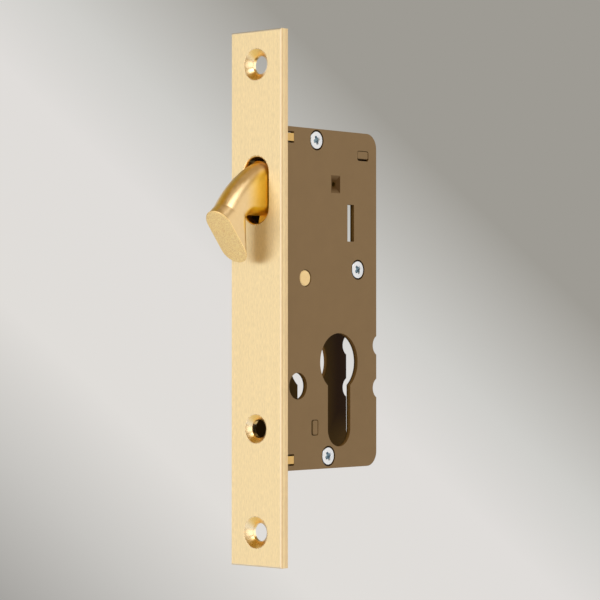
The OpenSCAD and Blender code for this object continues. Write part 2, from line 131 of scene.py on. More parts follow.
class Graph:
    """A node tree, with short calls that add and join its nodes."""

    def __init__(self, tree: bpy.types.NodeTree) -> None:
        """Takes up a material's or the world's tree."""
        self.tree = tree

    def node(self, kind: str, inputs: dict | None = None, **settings: object) -> bpy.types.Node:
        """Adds one node.

        Args:
            kind: Blender's name of the node's type, without the ShaderNode before it.
            inputs: Values or output sockets for its inputs, by name or number.
            settings: Values of the node's own properties.

        Returns:
            The node.
        """
        made = self.tree.nodes.new("ShaderNode" + kind)
        for key, value in settings.items():
            setattr(made, key, value)
        for key, value in (inputs or {}).items():
            self.put(made.inputs[key], value)
        return made

    def put(self, socket: Socket, value: object) -> None:
        """Joins an output to an input socket, or sets the socket's own value.

        Args:
            socket: The input socket.
            value: An output socket, a number, a vector or a colour, which gets full alpha.
        """
        if isinstance(value, bpy.types.NodeSocket):
            self.tree.links.new(value, socket)
        elif socket.type == "RGBA":
            socket.default_value = (*value, 1.0)
        else:
            socket.default_value = value

    def math(self, operation: str, *terms: object) -> Socket:
        """Adds a sum or other operation on numbers, and returns its output."""
        return self.node("Math", dict(enumerate(terms)), operation=operation).outputs[0]

    def times(self, *factors: object) -> Socket:
        """Multiplies numbers, and returns the output."""
        return reduce(lambda product, factor: self.math("MULTIPLY", product, factor), factors)

    def dot(self, first: object, second: object) -> Socket:
        """Multiplies two vectors into a number, and returns the output."""
        return self.node("VectorMath", {0: first, 1: second}, operation="DOT_PRODUCT").outputs["Value"]

    def split(self, vector: Socket) -> bpy.types.NodeOutputs:
        """Splits a vector into its parts X, Y and Z."""
        return self.node("SeparateXYZ", {0: vector}).outputs

    def mix(self, share: object, low: object, high: object, blend: str = "MIX") -> Socket:
        """Mixes two colours by a share from 0 to 1, and returns the output."""
        return self.node("Mix", {0: share, 6: low, 7: high}, data_type="RGBA", blend_type=blend).outputs[2]

    def between(self, value: object, low: float, high: float, start: float = 0.0, end: float = 1.0) -> Socket:
        """Carries a value smoothly from one range to another, and returns the output."""
        terms = {0: value, 1: low, 2: high, 3: start, 4: end}
        return self.node("MapRange", terms, interpolation_type="SMOOTHSTEP").outputs[0]

    def place(self, per_metre: Size) -> Socket:
        """Multiplies Object coordinates along each axis, and returns the output."""
        coordinates = self.node("TexCoord").outputs["Object"]
        return self.node("Mapping", {"Vector": coordinates, "Scale": per_metre}).outputs[0]

    def place_mm(self) -> bpy.types.NodeOutputs:
        """Splits Object coordinates in millimetres into X, Y and Z."""
        return self.split(self.place((1.0 / MM,) * 3))

    def facing(self) -> bpy.types.NodeOutputs:
        """Splits a face's own normal into X, Y and Z."""
        return self.split(self.node("NewGeometry").outputs["True Normal"])

    def grain(self, size_mm: Size, detail: float = 2.0, rough: float = 0.6) -> Socket:
        """Adds noise whose grains have the given size along each axis, and returns its output."""
        vector = self.place(tuple(1.0 / (s * MM) for s in size_mm))
        return self.node("TexNoise", {"Vector": vector, "Scale": 1.0, "Detail": detail,
                                      "Roughness": rough}).outputs[0]

    def shades(self, share: Socket, base: Rgb, down: float, up: float) -> Socket:
        """Mixes a colour darkened by a part of itself with the same colour brightened by another."""
        return self.mix(share, tuple(v * (1.0 - down) for v in base),
                        tuple(min(1.0, v * (1.0 + up)) for v in base))

    def bump(self, height: Socket, depth_mm: float, strength: float, **over: Socket) -> Socket:
        """Dents the surface's own normal, or one given as Normal, by a height from 0 to 1."""
        terms = {"Strength": strength, "Distance": depth_mm * MM, "Height": height, **over}
        return self.node("Bump", terms).outputs[0]


class Surface(Graph):
    """A material's nodes around its Principled shader."""

    def __init__(self, name: str) -> None:
        """Starts a material that has a Principled shader alone.

        Args:
            name: The material's name.
        """
        self.material = bpy.data.materials.new(name)
        self.material.use_nodes = True
        super().__init__(self.material.node_tree)

    def set(self, **values: object) -> None:
        """Sets the Principled shader's inputs.

        Args:
            values: Values or output sockets by the inputs' names, with _ for a space.
        """
        inputs = self.tree.nodes["Principled BSDF"].inputs
        for key, value in values.items():
            self.put(inputs[key.replace("_", " ").title().replace("Ior", "IOR")], value)


class Finish:
    """A surface's look. Each kind has a lay method of its own, which feeds the shader."""

    def lay(self, g: Surface) -> None:
        """Feeds the shader."""
        raise NotImplementedError

    def material(self, name: str) -> Material:
        """Makes the finish's material.

        Args:
            name: The material's name.

        Returns:
            The material.
        """
        surface = Surface(name)
        self.lay(surface)
        return surface.material


@dataclass(frozen=True)
class BrushedBrass(Finish):
    """Brass brushed up and down, as on the forend: sharp along the brushing and blurred across it.

    On the sides, a line of painted shade runs beside the front edge. It comes and goes between the four
    distances behind the face in shade_line_mm, and painted shade deepens the colour again towards the back,
    between those of rear_shade_mm. The chamfers are worn pale with a painted highlight, and scatter light,
    most of all at the face.
    """

    base: Rgb = (0.87, 0.745, 0.48)
    rubbed_and_highlight: Rgb = (0.91, 0.76, 0.56)
    painted_side_shade: Rgb = (0.5, 0.15, 0.0)
    streak: float = 0.075
    scatter: float = 0.4
    rough: float = 0.4
    across: float = 1.0
    wide_mm: Size = (0.9, 0.9, 55.0)
    short_mm: Size = (0.34, 0.34, 1.7)
    short_share: float = 0.75
    fine_mm: Size = (0.12, 0.12, 9.0)
    chamfer_mm: Span = (0.1, 0.38)
    shade_line_mm: tuple[float, ...] = (0.2, 0.4, 0.55, 0.9)
    shade_line_share: float = 0.3
    rear_shade_mm: Span = (1.3, 2.1)
    rear_shade_share: Span = (0.02, 0.18)

    def lay(self, g: Surface) -> None:
        """Feeds the shader. A chamfer is a face whose normal lies near no axis.

        Args:
            g: The material's nodes.
        """
        wide = g.times(g.grain(self.wide_mm, 3.0), 1.0 - self.short_share)
        tone = g.math("ADD", wide, g.times(g.grain(self.short_mm), self.short_share))
        colour = g.shades(g.between(tone, *SHARP_NOISE), self.base, self.streak, self.streak)
        x, y, z = (g.math("ABSOLUTE", part) for part in g.facing())
        behind = g.place_mm()["Y"]
        slanted = g.between(g.math("MAXIMUM", x, g.math("MAXIMUM", y, z)), 0.75, 0.9, 1.0, 0.0)
        chamfer = g.times(slanted, g.between(behind, *self.chamfer_mm, 1.0, 0.0))
        near, start, stop, far = self.shade_line_mm
        # Painted shade on the sides: a line beside the front edge and a band that deepens towards the back
        line = g.times(g.between(behind, near, start), g.between(behind, stop, far, 1.0, 0.0))
        rear = g.between(behind, *self.rear_shade_mm, *self.rear_shade_share)
        painted_side_shade = g.times(g.math("ADD", g.times(line, self.shade_line_share), rear), g.between(x, 0.5, 0.9))
        colour = g.mix(painted_side_shade, colour, self.painted_side_shade)
        # Painted highlight: the chamfers are mixed towards a pale colour, for wear and for the light they
        # catch
        colour = g.mix(chamfer, colour, self.rubbed_and_highlight)
        # The tangent runs across the brushing, on the forend's face as on its sides
        across = g.node("CombineXYZ", {"X": 0.7071, "Y": 0.7071}).outputs[0]
        metal = g.math("SUBTRACT", 1.0, g.times(chamfer, self.scatter))
        g.set(base_color=colour, metallic=metal, roughness=self.rough, anisotropic=self.across,
              tangent=across, normal=g.bump(g.grain(self.fine_mm), 0.004, 0.35))


@dataclass(frozen=True)
class SatinBrass(Finish):
    """Plain satin brass with fine marks in every direction."""

    base: Rgb
    rough: float
    marks_mm: Size = (0.25, 0.25, 0.25)
    marks: float = 0.3
    mottle: float = 0.05
    metal: float = 1.0
    cloud_mm: Size = (2.2, 2.2, 3.5)

    def lay(self, g: Surface) -> None:
        """Feeds the shader: the marks tint and dent the brass, and a cloud blurs it unevenly.

        Args:
            g: The material's nodes.
        """
        fine = g.grain(self.marks_mm, 3.0)
        cloud = g.grain(self.cloud_mm, 3.0, 0.5)
        g.set(base_color=g.shades(g.between(fine, *SHARP_NOISE), self.base, self.mottle, self.mottle),
              roughness=g.between(cloud, *SOFT_NOISE, self.rough * 0.85, self.rough * 1.15),
              metallic=self.metal, normal=g.bump(fine, 0.004, self.marks))


@dataclass(frozen=True)
class HookBrass(Finish):
    """The hook's lacquered cast brass, coloured with painted reflections and highlights by how it faces.

    The crown's deep colour, a painted reflection, gives way to the shoulders' pale one, a painted highlight,
    and then to the sides' as a surface turns to face along X, all in the hook's own coordinates. The sides
    deepen from a painted highlight at the beak to a painted reflection of brass at the slot and round the
    throat, where the distance from the middle of its fillet, in Y and Z, is the measure. Faces turned down
    take a deeper gold, a painted reflection, and less lacquer. The cast skin shows most along the crown.
    """

    crown: Rgb = (1.0, 0.63, 0.06)
    shoulder: Rgb = (0.97, 0.76, 0.46)
    under: Rgb = (1.0, 0.6, 0.02)
    pale: Rgb = (0.66, 0.5, 0.27)
    deep: Rgb = (0.88, 0.57, 0.05)
    dusk: Rgb = (0.93, 0.92, 0.88)
    highlight_turn: Span = (0.12, 0.45)
    side_reflection_turn: Span = (0.66, 0.92)
    under_reflection_turn: Span = (-0.15, -0.6)
    side_reflection_y_mm: Span = (-9.8, -1.5)
    throat_reflection_mm: Span = (-4.7, 21.6)
    throat_reflection_r_mm: Span = (4.6, 6.0)
    cloud_mm: Size = (1.6, 1.6, 1.6)
    pits_mm: Size = (0.42, 0.42, 0.42)
    rough: float = 0.36
    lacquer: float = 0.6

    def lay(self, g: Surface) -> None:
        """Feeds the shader.

        Args:
            g: The material's nodes.
        """
        facing = g.split(g.node("TexCoord").outputs["Normal"])
        sideways = g.math("ABSOLUTE", facing["X"])
        place = g.place_mm()
        off = [g.math("SUBTRACT", place[axis], at) for axis, at in zip("YZ", self.throat_reflection_mm)]
        away = g.math("SQRT", g.math("ADD", *(g.times(o, o) for o in off)))
        throat = g.between(away, *self.throat_reflection_r_mm, 1.0, 0.0)
        # Painted reflection on the sides: pale towards the beak, deep gold near the slot and round the throat
        side = g.mix(g.math("MAXIMUM", throat, g.between(place["Y"], *self.side_reflection_y_mm)), self.pale, self.deep)
        # Painted reflection and highlight: the crown's deep colour turns pale on the shoulders
        colour = g.mix(g.between(sideways, *self.highlight_turn), self.crown, self.shoulder)
        colour = g.mix(g.between(sideways, *self.side_reflection_turn), colour, side)
        # Painted reflection: a deeper gold where the hook faces down
        below = g.between(facing["Z"], *self.under_reflection_turn)
        colour = g.mix(below, colour, self.under)
        cloud = g.grain(self.cloud_mm, 4.0)
        dusk = g.mix(g.between(cloud, *SHARP_NOISE), self.dusk, (1.0, 1.0, 1.0))
        colour = g.mix(1.0, colour, dusk, "MULTIPLY")
        pits = g.times(g.grain(self.pits_mm, 3.0, 0.65), g.between(sideways, 0.1, 0.6, 1.0, 0.2))
        g.set(base_color=colour, metallic=1.0, normal=g.bump(pits, 0.12, 0.95), coat_roughness=self.rough,
              coat_weight=g.times(g.between(below, 0.0, 1.0, 1.0, 0.1), self.lacquer),
              roughness=g.between(cloud, *SOFT_NOISE, self.rough * 0.85, self.rough * 1.15))


@dataclass(frozen=True)
class TurnedBrass(Finish):
    """Polished turned brass of the countersinks, painted reflection deeper above and below than at the sides.
    """

    side: Rgb = (1.0, 0.83, 0.54)
    deep: Rgb = (0.98, 0.64, 0.16)
    rings_mm: Size = (0.5, 0.07, 0.5)
    rough: float = 0.27
    lacquer: float = 1.0

    def lay(self, g: Surface) -> None:
        """Feeds the shader. The painted reflection follows how far a surface faces up or down.

        Args:
            g: The material's nodes.
        """
        upright = g.math("ABSOLUTE", g.split(g.node("NewGeometry").outputs["Normal"])["Z"])
        rings = g.grain(self.rings_mm)
        # Painted reflection: the brass deepens where it faces up or down and is paler at the sides
        g.set(base_color=g.mix(g.between(upright, 0.25, 0.66), self.side, self.deep), metallic=1.0,
              roughness=g.between(rings, *SHARP_NOISE, self.rough * 0.9, self.rough * 1.1),
              normal=g.bump(rings, 0.003, 0.3), coat_weight=self.lacquer, coat_roughness=self.rough)


@dataclass(frozen=True)
class BronzePaint(Finish):
    """Matte bronze-brown paint on stamped steel; painted shade between plates, painted highlight on worn
    edges.

    The paint turns from its outer colour to the inside one, a painted shade, between the two distances of
    shade_mm from the case's middle plane. That shade is paler where light falls in through the cylinder's
    opening, a painted pool of light ahead of and below the spans of lit_y_mm and lit_z_mm. The paint is thin
    and deep in colour on the plates' cut edges. Painted shade darkens the dimples, whose centre and half size
    are given in Y and Z, most of all at their tips and on their faces that turn towards the forend, and a
    painted shadow lies in the seam at the forend's back.
    """

    base: Rgb = (0.18, 0.1128, 0.0523)
    inside: Rgb = (0.022, 0.007, 0.0)
    lit: Rgb = (0.062, 0.031, 0.003)
    lit_y_mm: Span = (37.0, 44.5)
    lit_z_mm: Span = (-44.0, -33.0)
    rubbed_and_highlight: Rgb = (0.29, 0.2, 0.115)
    rubbed_and_highlight_mm: float = 0.16
    shade_mm: Span = (5.4, 6.3)
    face_mm: float = 6.78
    dimple_mm: Span = (28.4, 34.7)
    dimple_half_mm: Span = (2.15, 2.7)
    dimple_deep_mm: float = 0.9
    painted_dimple_shade: Rgb = (0.045, 0.016, 0.0)
    cut: Rgb = (0.15, 0.07, 0.012)
    seam_shade_mm: Span = (3.4, 4.3)
    cloud_mm: Size = (6.0, 6.0, 6.0)
    speck_mm: Size = (0.22, 0.22, 0.22)
    rough: float = 0.58
    specular: float = 0.06

    def lay(self, g: Surface) -> None:
        """Feeds the shader. Edges get wear and a painted highlight where the rounded normal leaves the face's
        own.

        Args:
            g: The material's nodes.
        """
        speck = g.grain(self.speck_mm)
        soft = g.node("Bevel", {"Radius": self.rubbed_and_highlight_mm * MM}, samples=6).outputs[0]
        worn = g.between(g.dot(soft, g.node("NewGeometry").outputs["Normal"]), 0.995, 0.8)
        outer = g.shades(g.grain(self.cloud_mm, 4.0), self.base, 0.06, 0.06)
        # Painted highlight: edges are mixed towards a pale colour, for wear and for the light they catch
        outer = g.mix(g.times(worn, 0.55), outer, self.rubbed_and_highlight)
        place, facing = g.place_mm(), g.facing()
        sunk = g.math("ABSOLUTE", place["X"])
        outer = g.mix(g.between(g.math("ABSOLUTE", facing["X"]), 0.3, 0.7, 0.85, 0.0), outer, self.cut)
        # Painted shade in the dimples: deepest at their tips and on faces turned towards the forend
        deeper = g.between(sunk, self.face_mm - self.dimple_deep_mm, self.face_mm, 0.95, 0.42)
        ahead = g.between(facing["Y"], -0.3, -0.1, 0.84, 0.0)
        painted_dimple_shade = g.times(g.between(sunk, self.face_mm, self.face_mm + 0.015, 1.0, 0.0),
                         g.math("MAXIMUM", deeper, ahead))
        for axis, centre, half in zip("YZ", self.dimple_mm, self.dimple_half_mm):
            off = g.math("ABSOLUTE", g.math("SUBTRACT", place[axis], centre))
            painted_dimple_shade = g.times(painted_dimple_shade, g.between(off, half - 0.1, half + 0.1, 1.0, 0.0))
        outer = g.mix(painted_dimple_shade, outer, self.painted_dimple_shade)
        # Painted shadow in the inside colour where the plate meets the forend's back
        outer = g.mix(g.between(place["Y"], *self.seam_shade_mm, 0.4, 0.0), outer, self.inside)
        # Painted pool of light where light falls in through the cylinder's opening
        lit = g.math("MAXIMUM", g.between(place["Y"], *self.lit_y_mm, 1.0, 0.0),
                     g.between(place["Z"], *self.lit_z_mm, 1.0, 0.0))
        inner = g.mix(lit, self.inside, self.lit)
        # Painted shade: the inside colour takes over between the plates
        g.set(base_color=g.mix(g.between(sunk, *self.shade_mm), inner, outer), metallic=0.0,
              roughness=g.between(speck, *SHARP_NOISE, self.rough - 0.06, self.rough + 0.06),
              specular_ior_level=self.specular, normal=g.bump(speck, 0.012, 0.35, Normal=soft))


@dataclass(frozen=True)
class PlainSteel(Finish):
    """Bare or plated steel with fine turning or rolling marks."""

    base: Rgb = (0.62, 0.62, 0.62)
    rough: float = 0.3
    marks_mm: Size = (0.1, 1.5, 1.5)
    marks: float = 0.35
    cloud_mm: Size = (2.5, 2.5, 2.5)

    def lay(self, g: Surface) -> None:
        """Feeds the shader: a cloud shades and blurs the steel unevenly.

        Args:
            g: The material's nodes.
        """
        cloud = g.grain(self.cloud_mm, 3.0, 0.5)
        g.set(base_color=g.shades(cloud, self.base, 0.1, 0.05), metallic=1.0,
              roughness=g.between(cloud, *SOFT_NOISE, self.rough * 0.8, self.rough * 1.25),
              normal=g.bump(g.grain(self.marks_mm), 0.004, self.marks))


class Look(Enum):
    """The finishes. A material has its member's name in small letters, with a space for _."""

    FOREND_BRASS = BrushedBrass()
    LUG_BRASS = SatinBrass((0.55, 0.37, 0.14), 0.42)
    HOOK_BRASS = HookBrass()
    HOOK_FACE_BRASS = SatinBrass((1.0, 0.665, 0.31), 0.55, (0.31, 0.31, 0.31), 0.6, 0.21, 0.66)
    COUNTERSINK_BRASS = TurnedBrass()
    PIN_BRASS = SatinBrass((0.7, 0.54, 0.285), 0.4)
    BRONZE_PAINT = BronzePaint()
    # Tenons: the painted shade starts just under their faces, so that the windows' gaps show shade
    TENON_PAINT = BronzePaint(shade_mm=(6.5, 6.74))
    ZINC = PlainSteel((0.62, 0.665, 0.73))
    # Painted shade: zinc darkened for the deeper parts of the cross recesses
    RECESS_ZINC = PlainSteel((0.19, 0.29, 0.37), 0.45)
    # Painted shade: a near-black steel lining in the gaps round the screw heads and the pin's ends
    DARK_OXIDE = PlainSteel((0.045, 0.026, 0.01), 0.6)
    TURNED_STEEL = PlainSteel()
    STAMPED_STEEL = PlainSteel((0.5, 0.5, 0.52), 0.38, (0.4, 0.4, 3.0))
    SPRING_WIRE = PlainSteel((0.5, 0.5, 0.52), 0.22, (0.3, 0.3, 0.3))

    @cache
    def material(self) -> Material:
        """Gives the finish's material, which is made once."""
        return self.value.material(self.name.lower().replace("_", " "))


def linked(name: str, data: bpy.types.ID) -> Piece:
    """Makes an object of a mesh, a lamp or a camera, in the scene's own collection."""
    made = bpy.data.objects.new(name, data)
    bpy.context.scene.collection.objects.link(made)
    return made


def circle(steps: int) -> np.ndarray:
    """Gives the angles of points spaced evenly round a circle."""
    return 2.0 * np.pi * np.arange(steps) / steps


def arc(centre: Span | np.ndarray, radius: float, turn: np.ndarray) -> np.ndarray:
    """Gives an arc's points at the angles t of a turn: centre + radius (cos t, sin t)."""
    return np.asarray(centre) + radius * np.stack([np.cos(turn), np.sin(turn)], axis=-1)


def share(t: np.ndarray, low: float, high: float) -> np.ndarray:
    """Gives how far values have come through a range: 0 before it, 1 after it and evenly between."""
    return np.clip((t - low) / (high - low), 0.0, 1.0)


def polar(radius: float | np.ndarray, angle_deg: np.ndarray) -> np.ndarray:
    """Gives the point at a radius and an angle above the line from the hook pin to the forend: y, then z."""
    a = np.radians(angle_deg)
    return np.stack([-radius * np.cos(a), radius * np.sin(a)], axis=-1)


def unit(v: np.ndarray) -> np.ndarray:
    """Scales vectors to a length of 1."""
    return v / np.linalg.norm(v, axis=-1, keepdims=True)


def left_of(v: np.ndarray) -> np.ndarray:
    """Turns plane vectors a quarter turn."""
    return np.stack([-v[..., 1], v[..., 0]], axis=-1)


def turned(v: np.ndarray, angle_deg: float) -> np.ndarray:
    """Turns plane vectors by an angle."""
    return math.cos(math.radians(angle_deg)) * v + math.sin(math.radians(angle_deg)) * left_of(v)


class Shells:
    """Closed shells worked out as arrays in millimetres and gathered into one mesh."""

    lathe_steps = 96

    def __init__(self) -> None:
        """Starts with nothing."""
        self.points: list[np.ndarray] = []
        self.faces: list[list[int]] = []
        self.slots: list[int] = []
        self.count = 0

    def skin(self, rings: np.ndarray, slot: int | np.ndarray = 0, ends: tuple[int, ...] = ()) -> None:
        """Adds a skin over rings of equally many points.

        Point k of ring j is joined to point k + 1 of the same ring and to both of their neighbours on
        ring j + 1, and the last point of a ring to its first. The last ring is joined to the first in
        the same way, or each of the two is closed by a flat face.

        Args:
            rings: Points, shape (rings, points of a ring, 3).
            slot: Material slot of the skin, or of each of its faces, ring by ring.
            ends: Material slots of the first and the last ring's flat faces, if they have them.
        """
        m, n = rings.shape[:2]
        row, col = np.meshgrid(np.arange(m - 1 if ends else m), np.arange(n), indexing="ij")
        below, beside = (row + 1) % m, (col + 1) % n
        corners = [row * n + col, row * n + beside, below * n + beside, below * n + col]
        quads = np.stack(corners, axis=-1).reshape(-1, 4) + self.count
        self.points.append(rings.reshape(-1, 3))
        self.faces += quads.tolist()
        self.slots += np.broadcast_to(slot, len(quads)).tolist()
        if ends:
            first = np.arange(self.count, self.count + n)
            self.faces += [first[::-1].tolist(), (first + (m - 1) * n).tolist()]
            self.slots += ends
        self.count += m * n

    def lathe(self, profile: np.ndarray, centre: Span, slots: tuple[int, ...] = (0,)) -> None:
        """Adds a solid of revolution about an axis along X.

        Point (x, r) of the profile becomes the ring (x, y + r cos t, z + r sin t) about the centre
        (y, z). The profile is closed, so a bore is part of it, and a radius of 0 is a pole.

        Args:
            profile: Closed outline of x and radius, shape (points, 2).
            centre: The axis's y and z.
            slots: Material slot of all faces, or of each stretch of the profile.
        """
        turn, radius = circle(self.lathe_steps), profile[:, 1:]
        y, z = centre[0] + radius * np.cos(turn), centre[1] + radius * np.sin(turn)
        x = np.broadcast_to(profile[:, :1], y.shape)
        self.skin(np.stack([x, y, z], axis=-1), np.repeat(np.broadcast_to(slots, len(profile)), len(turn)))

    def prism(self, outline: np.ndarray, x: Span, soft: float) -> None:
        """Adds a flat outline in y and z carried along X, its edges softened by a small chamfer.

        Each end has two rings: the outline a chamfer's depth inside the end, and the outline moved
        inwards along its corners' mean normals by the same depth, on the end itself.

        Args:
            outline: Corners in order, shape (corners, 2).
            x: Where the two ends lie.
            soft: The chamfer's depth.
        """
        before, after = np.roll(outline, 1, axis=0), np.roll(outline, -1, axis=0)
        area = np.sum(outline[:, 0] * after[:, 1] - after[:, 0] * outline[:, 1])
        small = outline + soft * np.sign(area) * unit(left_of(after - before))
        ends = [(x[0], small), (x[0] + soft, outline), (x[1] - soft, outline), (x[1], small)]
        self.skin(np.stack([np.column_stack([np.full(len(o), at), o]) for at, o in ends]), 0, (0, 0))

    def piece(self, name: str, node: str, sharp_deg: float, *looks: Look, body: str = "case",
              replaces: bool = True) -> Piece:
        """Makes the piece: the shells merged, facing outwards and smooth between sharp edges.

        Args:
            name: Its name.
            node: The CAD node that it belongs to.
            sharp_deg: Edges that turn by more stay sharp.
            looks: Its finishes in slot order.
            body: The CAD body that it rides on.
            replaces: Whether it stands for the node.

        Returns:
            The piece.
        """
        mesh = bpy.data.meshes.new(name)
        mesh.from_pydata((np.concatenate(self.points) * MM).tolist(), [], self.faces)
        mesh.polygons.foreach_set("material_index", self.slots)
        work = bmesh.new()
        work.from_mesh(mesh)
        bmesh.ops.remove_doubles(work, verts=work.verts, dist=1e-7)
        bmesh.ops.recalc_face_normals(work, faces=work.faces)
        work.to_mesh(mesh)
        work.free()
        for look in looks:
            mesh.materials.append(look.material())
        mesh.polygons.foreach_set("use_smooth", [True] * len(mesh.polygons))
        mesh.set_sharp_from_angle(angle=math.radians(sharp_deg))
        piece = linked(name, mesh)
        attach(piece, body)
        if replaces:
            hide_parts(node)
        LOG.info("%s: %d faces", name, len(mesh.polygons))
        return piece


@dataclass(frozen=True)
class CameraSetup:
    """The photograph's view, fitted to the lock's own edges."""

    turn_deg: float = 41.2
    distance: float = 0.6952
    aside: float = 0.01305
    height: float = -0.01176
    rise_deg: float = 0.925
    lens_mm: float = 141.55
    sensor_mm: float = 36.0
    clip: Span = (0.01, 20.0)

    def ahead(self) -> Vector:
        """Gives the level direction that the camera looks in."""
        return Vector((-math.sin(math.radians(self.turn_deg)), math.cos(math.radians(self.turn_deg)), 0.0))

    def right(self) -> Vector:
        """Gives the level direction to the picture's right."""
        return Vector((math.cos(math.radians(self.turn_deg)), math.sin(math.radians(self.turn_deg)), 0.0))

    def build(self) -> None:
        """Makes the camera and makes it the scene's own."""
        data = bpy.data.cameras.new("camera")
        data.lens = self.lens_mm
        data.sensor_width = self.sensor_mm
        data.clip_start, data.clip_end = self.clip
        camera = linked("camera", data)
        camera.location = self.right() * self.aside - self.ahead() * self.distance + UP * self.height
        aim = self.ahead() + UP * math.tan(math.radians(self.rise_deg))
        camera.rotation_euler = aim.to_track_quat("-Z", "Y").to_euler()
        bpy.context.scene.camera = camera


@dataclass(frozen=True)
class Softbox:
    """A rectangular lamp that faces the lock, seen by the lock and not by the camera."""

    name: str
    bearing_deg: float
    rise_deg: float
    width: float
    height: float
    radiance: float
    distance: float = 1.2

    def build(self) -> None:
        """Makes the lamp. Its bearing turns from straight ahead of the forend towards the cover plate."""
        bearing, rise = math.radians(self.bearing_deg), math.radians(self.rise_deg)
        level = Vector((math.sin(bearing), -math.cos(bearing), 0.0))
        away = level * math.cos(rise) + UP * math.sin(rise)
        data = bpy.data.lights.new(self.name, "AREA")
        data.shape = "RECTANGLE"
        data.size = self.width
        data.size_y = self.height
        data.energy = self.radiance * math.pi * self.width * self.height
        lamp = linked(self.name, data)
        lamp.location = away * self.distance
        lamp.rotation_euler = away.to_track_quat("Z", "Y").to_euler()
        lamp.visible_camera = False


@dataclass(frozen=True)
class Studio:
    """The grey backdrop, the even light, the softboxes, the dim warm room and the floor far below the lock.

    The backdrop's tones run from the upper right corner to the lower left one, each with its share of
    the way. That share is middle - slope times the view direction's part along right * aslant + up.
    """

    level: float = 0.58
    front: Rgb = (0.34, 0.215, 0.06)
    camera: CameraSetup = CameraSetup()
    boxes: tuple[Softbox, ...] = (
        Softbox("key", -10.0, 0.0, 0.75, 0.95, 2.45),
        Softbox("fill", 52.0, 0.0, 0.72, 0.95, 1.2),
        Softbox("side", 120.0, 4.0, 1.5, 1.7, 1.04),
        Softbox("top", 60.0, 48.0, 0.8, 0.62, 2.7),
    )
    tones: tuple[tuple[float, Rgb], ...] = (
        (0.0, linear(158, 155, 148)),
        (0.23, linear(207, 206, 202)),
        (0.37, linear(224, 221, 218)),
        (0.65, linear(224, 221, 217)),
        (0.83, linear(199, 197, 193)),
        (1.0, linear(166, 164, 160)),
    )
    middle: float = 0.358
    slope: float = 2.82
    aslant: float = 0.95
    floor_r: float = 0.6
    floor_z: float = -0.3
    floor_steps: int = 96
    floor_shades: tuple[Rgb, Rgb] = ((0.78, 0.775, 0.765), (0.82, 0.815, 0.805))
    floor_cloud_mm: Size = (60.0, 60.0, 60.0)

    def world(self) -> None:
        """Makes the world: a diagonal grey sweep for what is seen or mirrored, else even light."""
        world = bpy.data.worlds.new("studio")
        world.use_nodes = True
        world.cycles.sampling_method = "NONE"
        bpy.context.scene.world = world
        g = Graph(world.node_tree)
        direction = g.node("TexCoord").outputs["Generated"]
        along = g.dot(direction, self.camera.right() * self.aslant + UP)
        ramp = g.node("ValToRGB", {0: g.math("MULTIPLY_ADD", along, -self.slope, self.middle)})
        elements = ramp.color_ramp.elements
        while len(elements) < len(self.tones):
            elements.new(0.5)
        for element, (at, tone) in zip(elements, self.tones):
            element.position = at
            element.color = (*tone, 1.0)
        path = g.node("LightPath").outputs
        shown = g.math("MAXIMUM", path["Is Camera Ray"], path["Is Glossy Ray"])
        shown = g.math("MAXIMUM", shown, path["Is Transmission Ray"])
        # Metal mirrors the backdrop only where it hangs, behind the lock, and a dim room elsewhere
        ahead = g.between(g.dot(direction, self.camera.ahead()), 0.5, 0.0)
        room = g.mix(g.times(ahead, path["Is Glossy Ray"]), ramp.outputs[0], self.front)
        g.put(g.tree.nodes["Background"].inputs["Color"], g.mix(shown, (self.level,) * 3, room))

    def floor(self) -> None:
        """Makes a round pale floor under the lock, out of the picture's own view."""
        ring = arc((0.0, 0.0), self.floor_r, circle(self.floor_steps))
        points = np.insert(ring, 2, self.floor_z, axis=1)
        mesh = bpy.data.meshes.new("floor")
        mesh.from_pydata(points.tolist(), [], [list(range(self.floor_steps))])
        g = Surface("pale floor")
        g.set(base_color=g.mix(g.grain(self.floor_cloud_mm, 3.0, 0.5), *self.floor_shades), roughness=0.8)
        mesh.materials.append(g.material)
        linked("floor", mesh)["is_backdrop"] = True

    def build(self) -> None:
        """Makes the studio."""
        bpy.context.scene.view_settings.view_transform = "Standard"
        self.world()
        self.floor()
        for box in self.boxes:
            box.build()


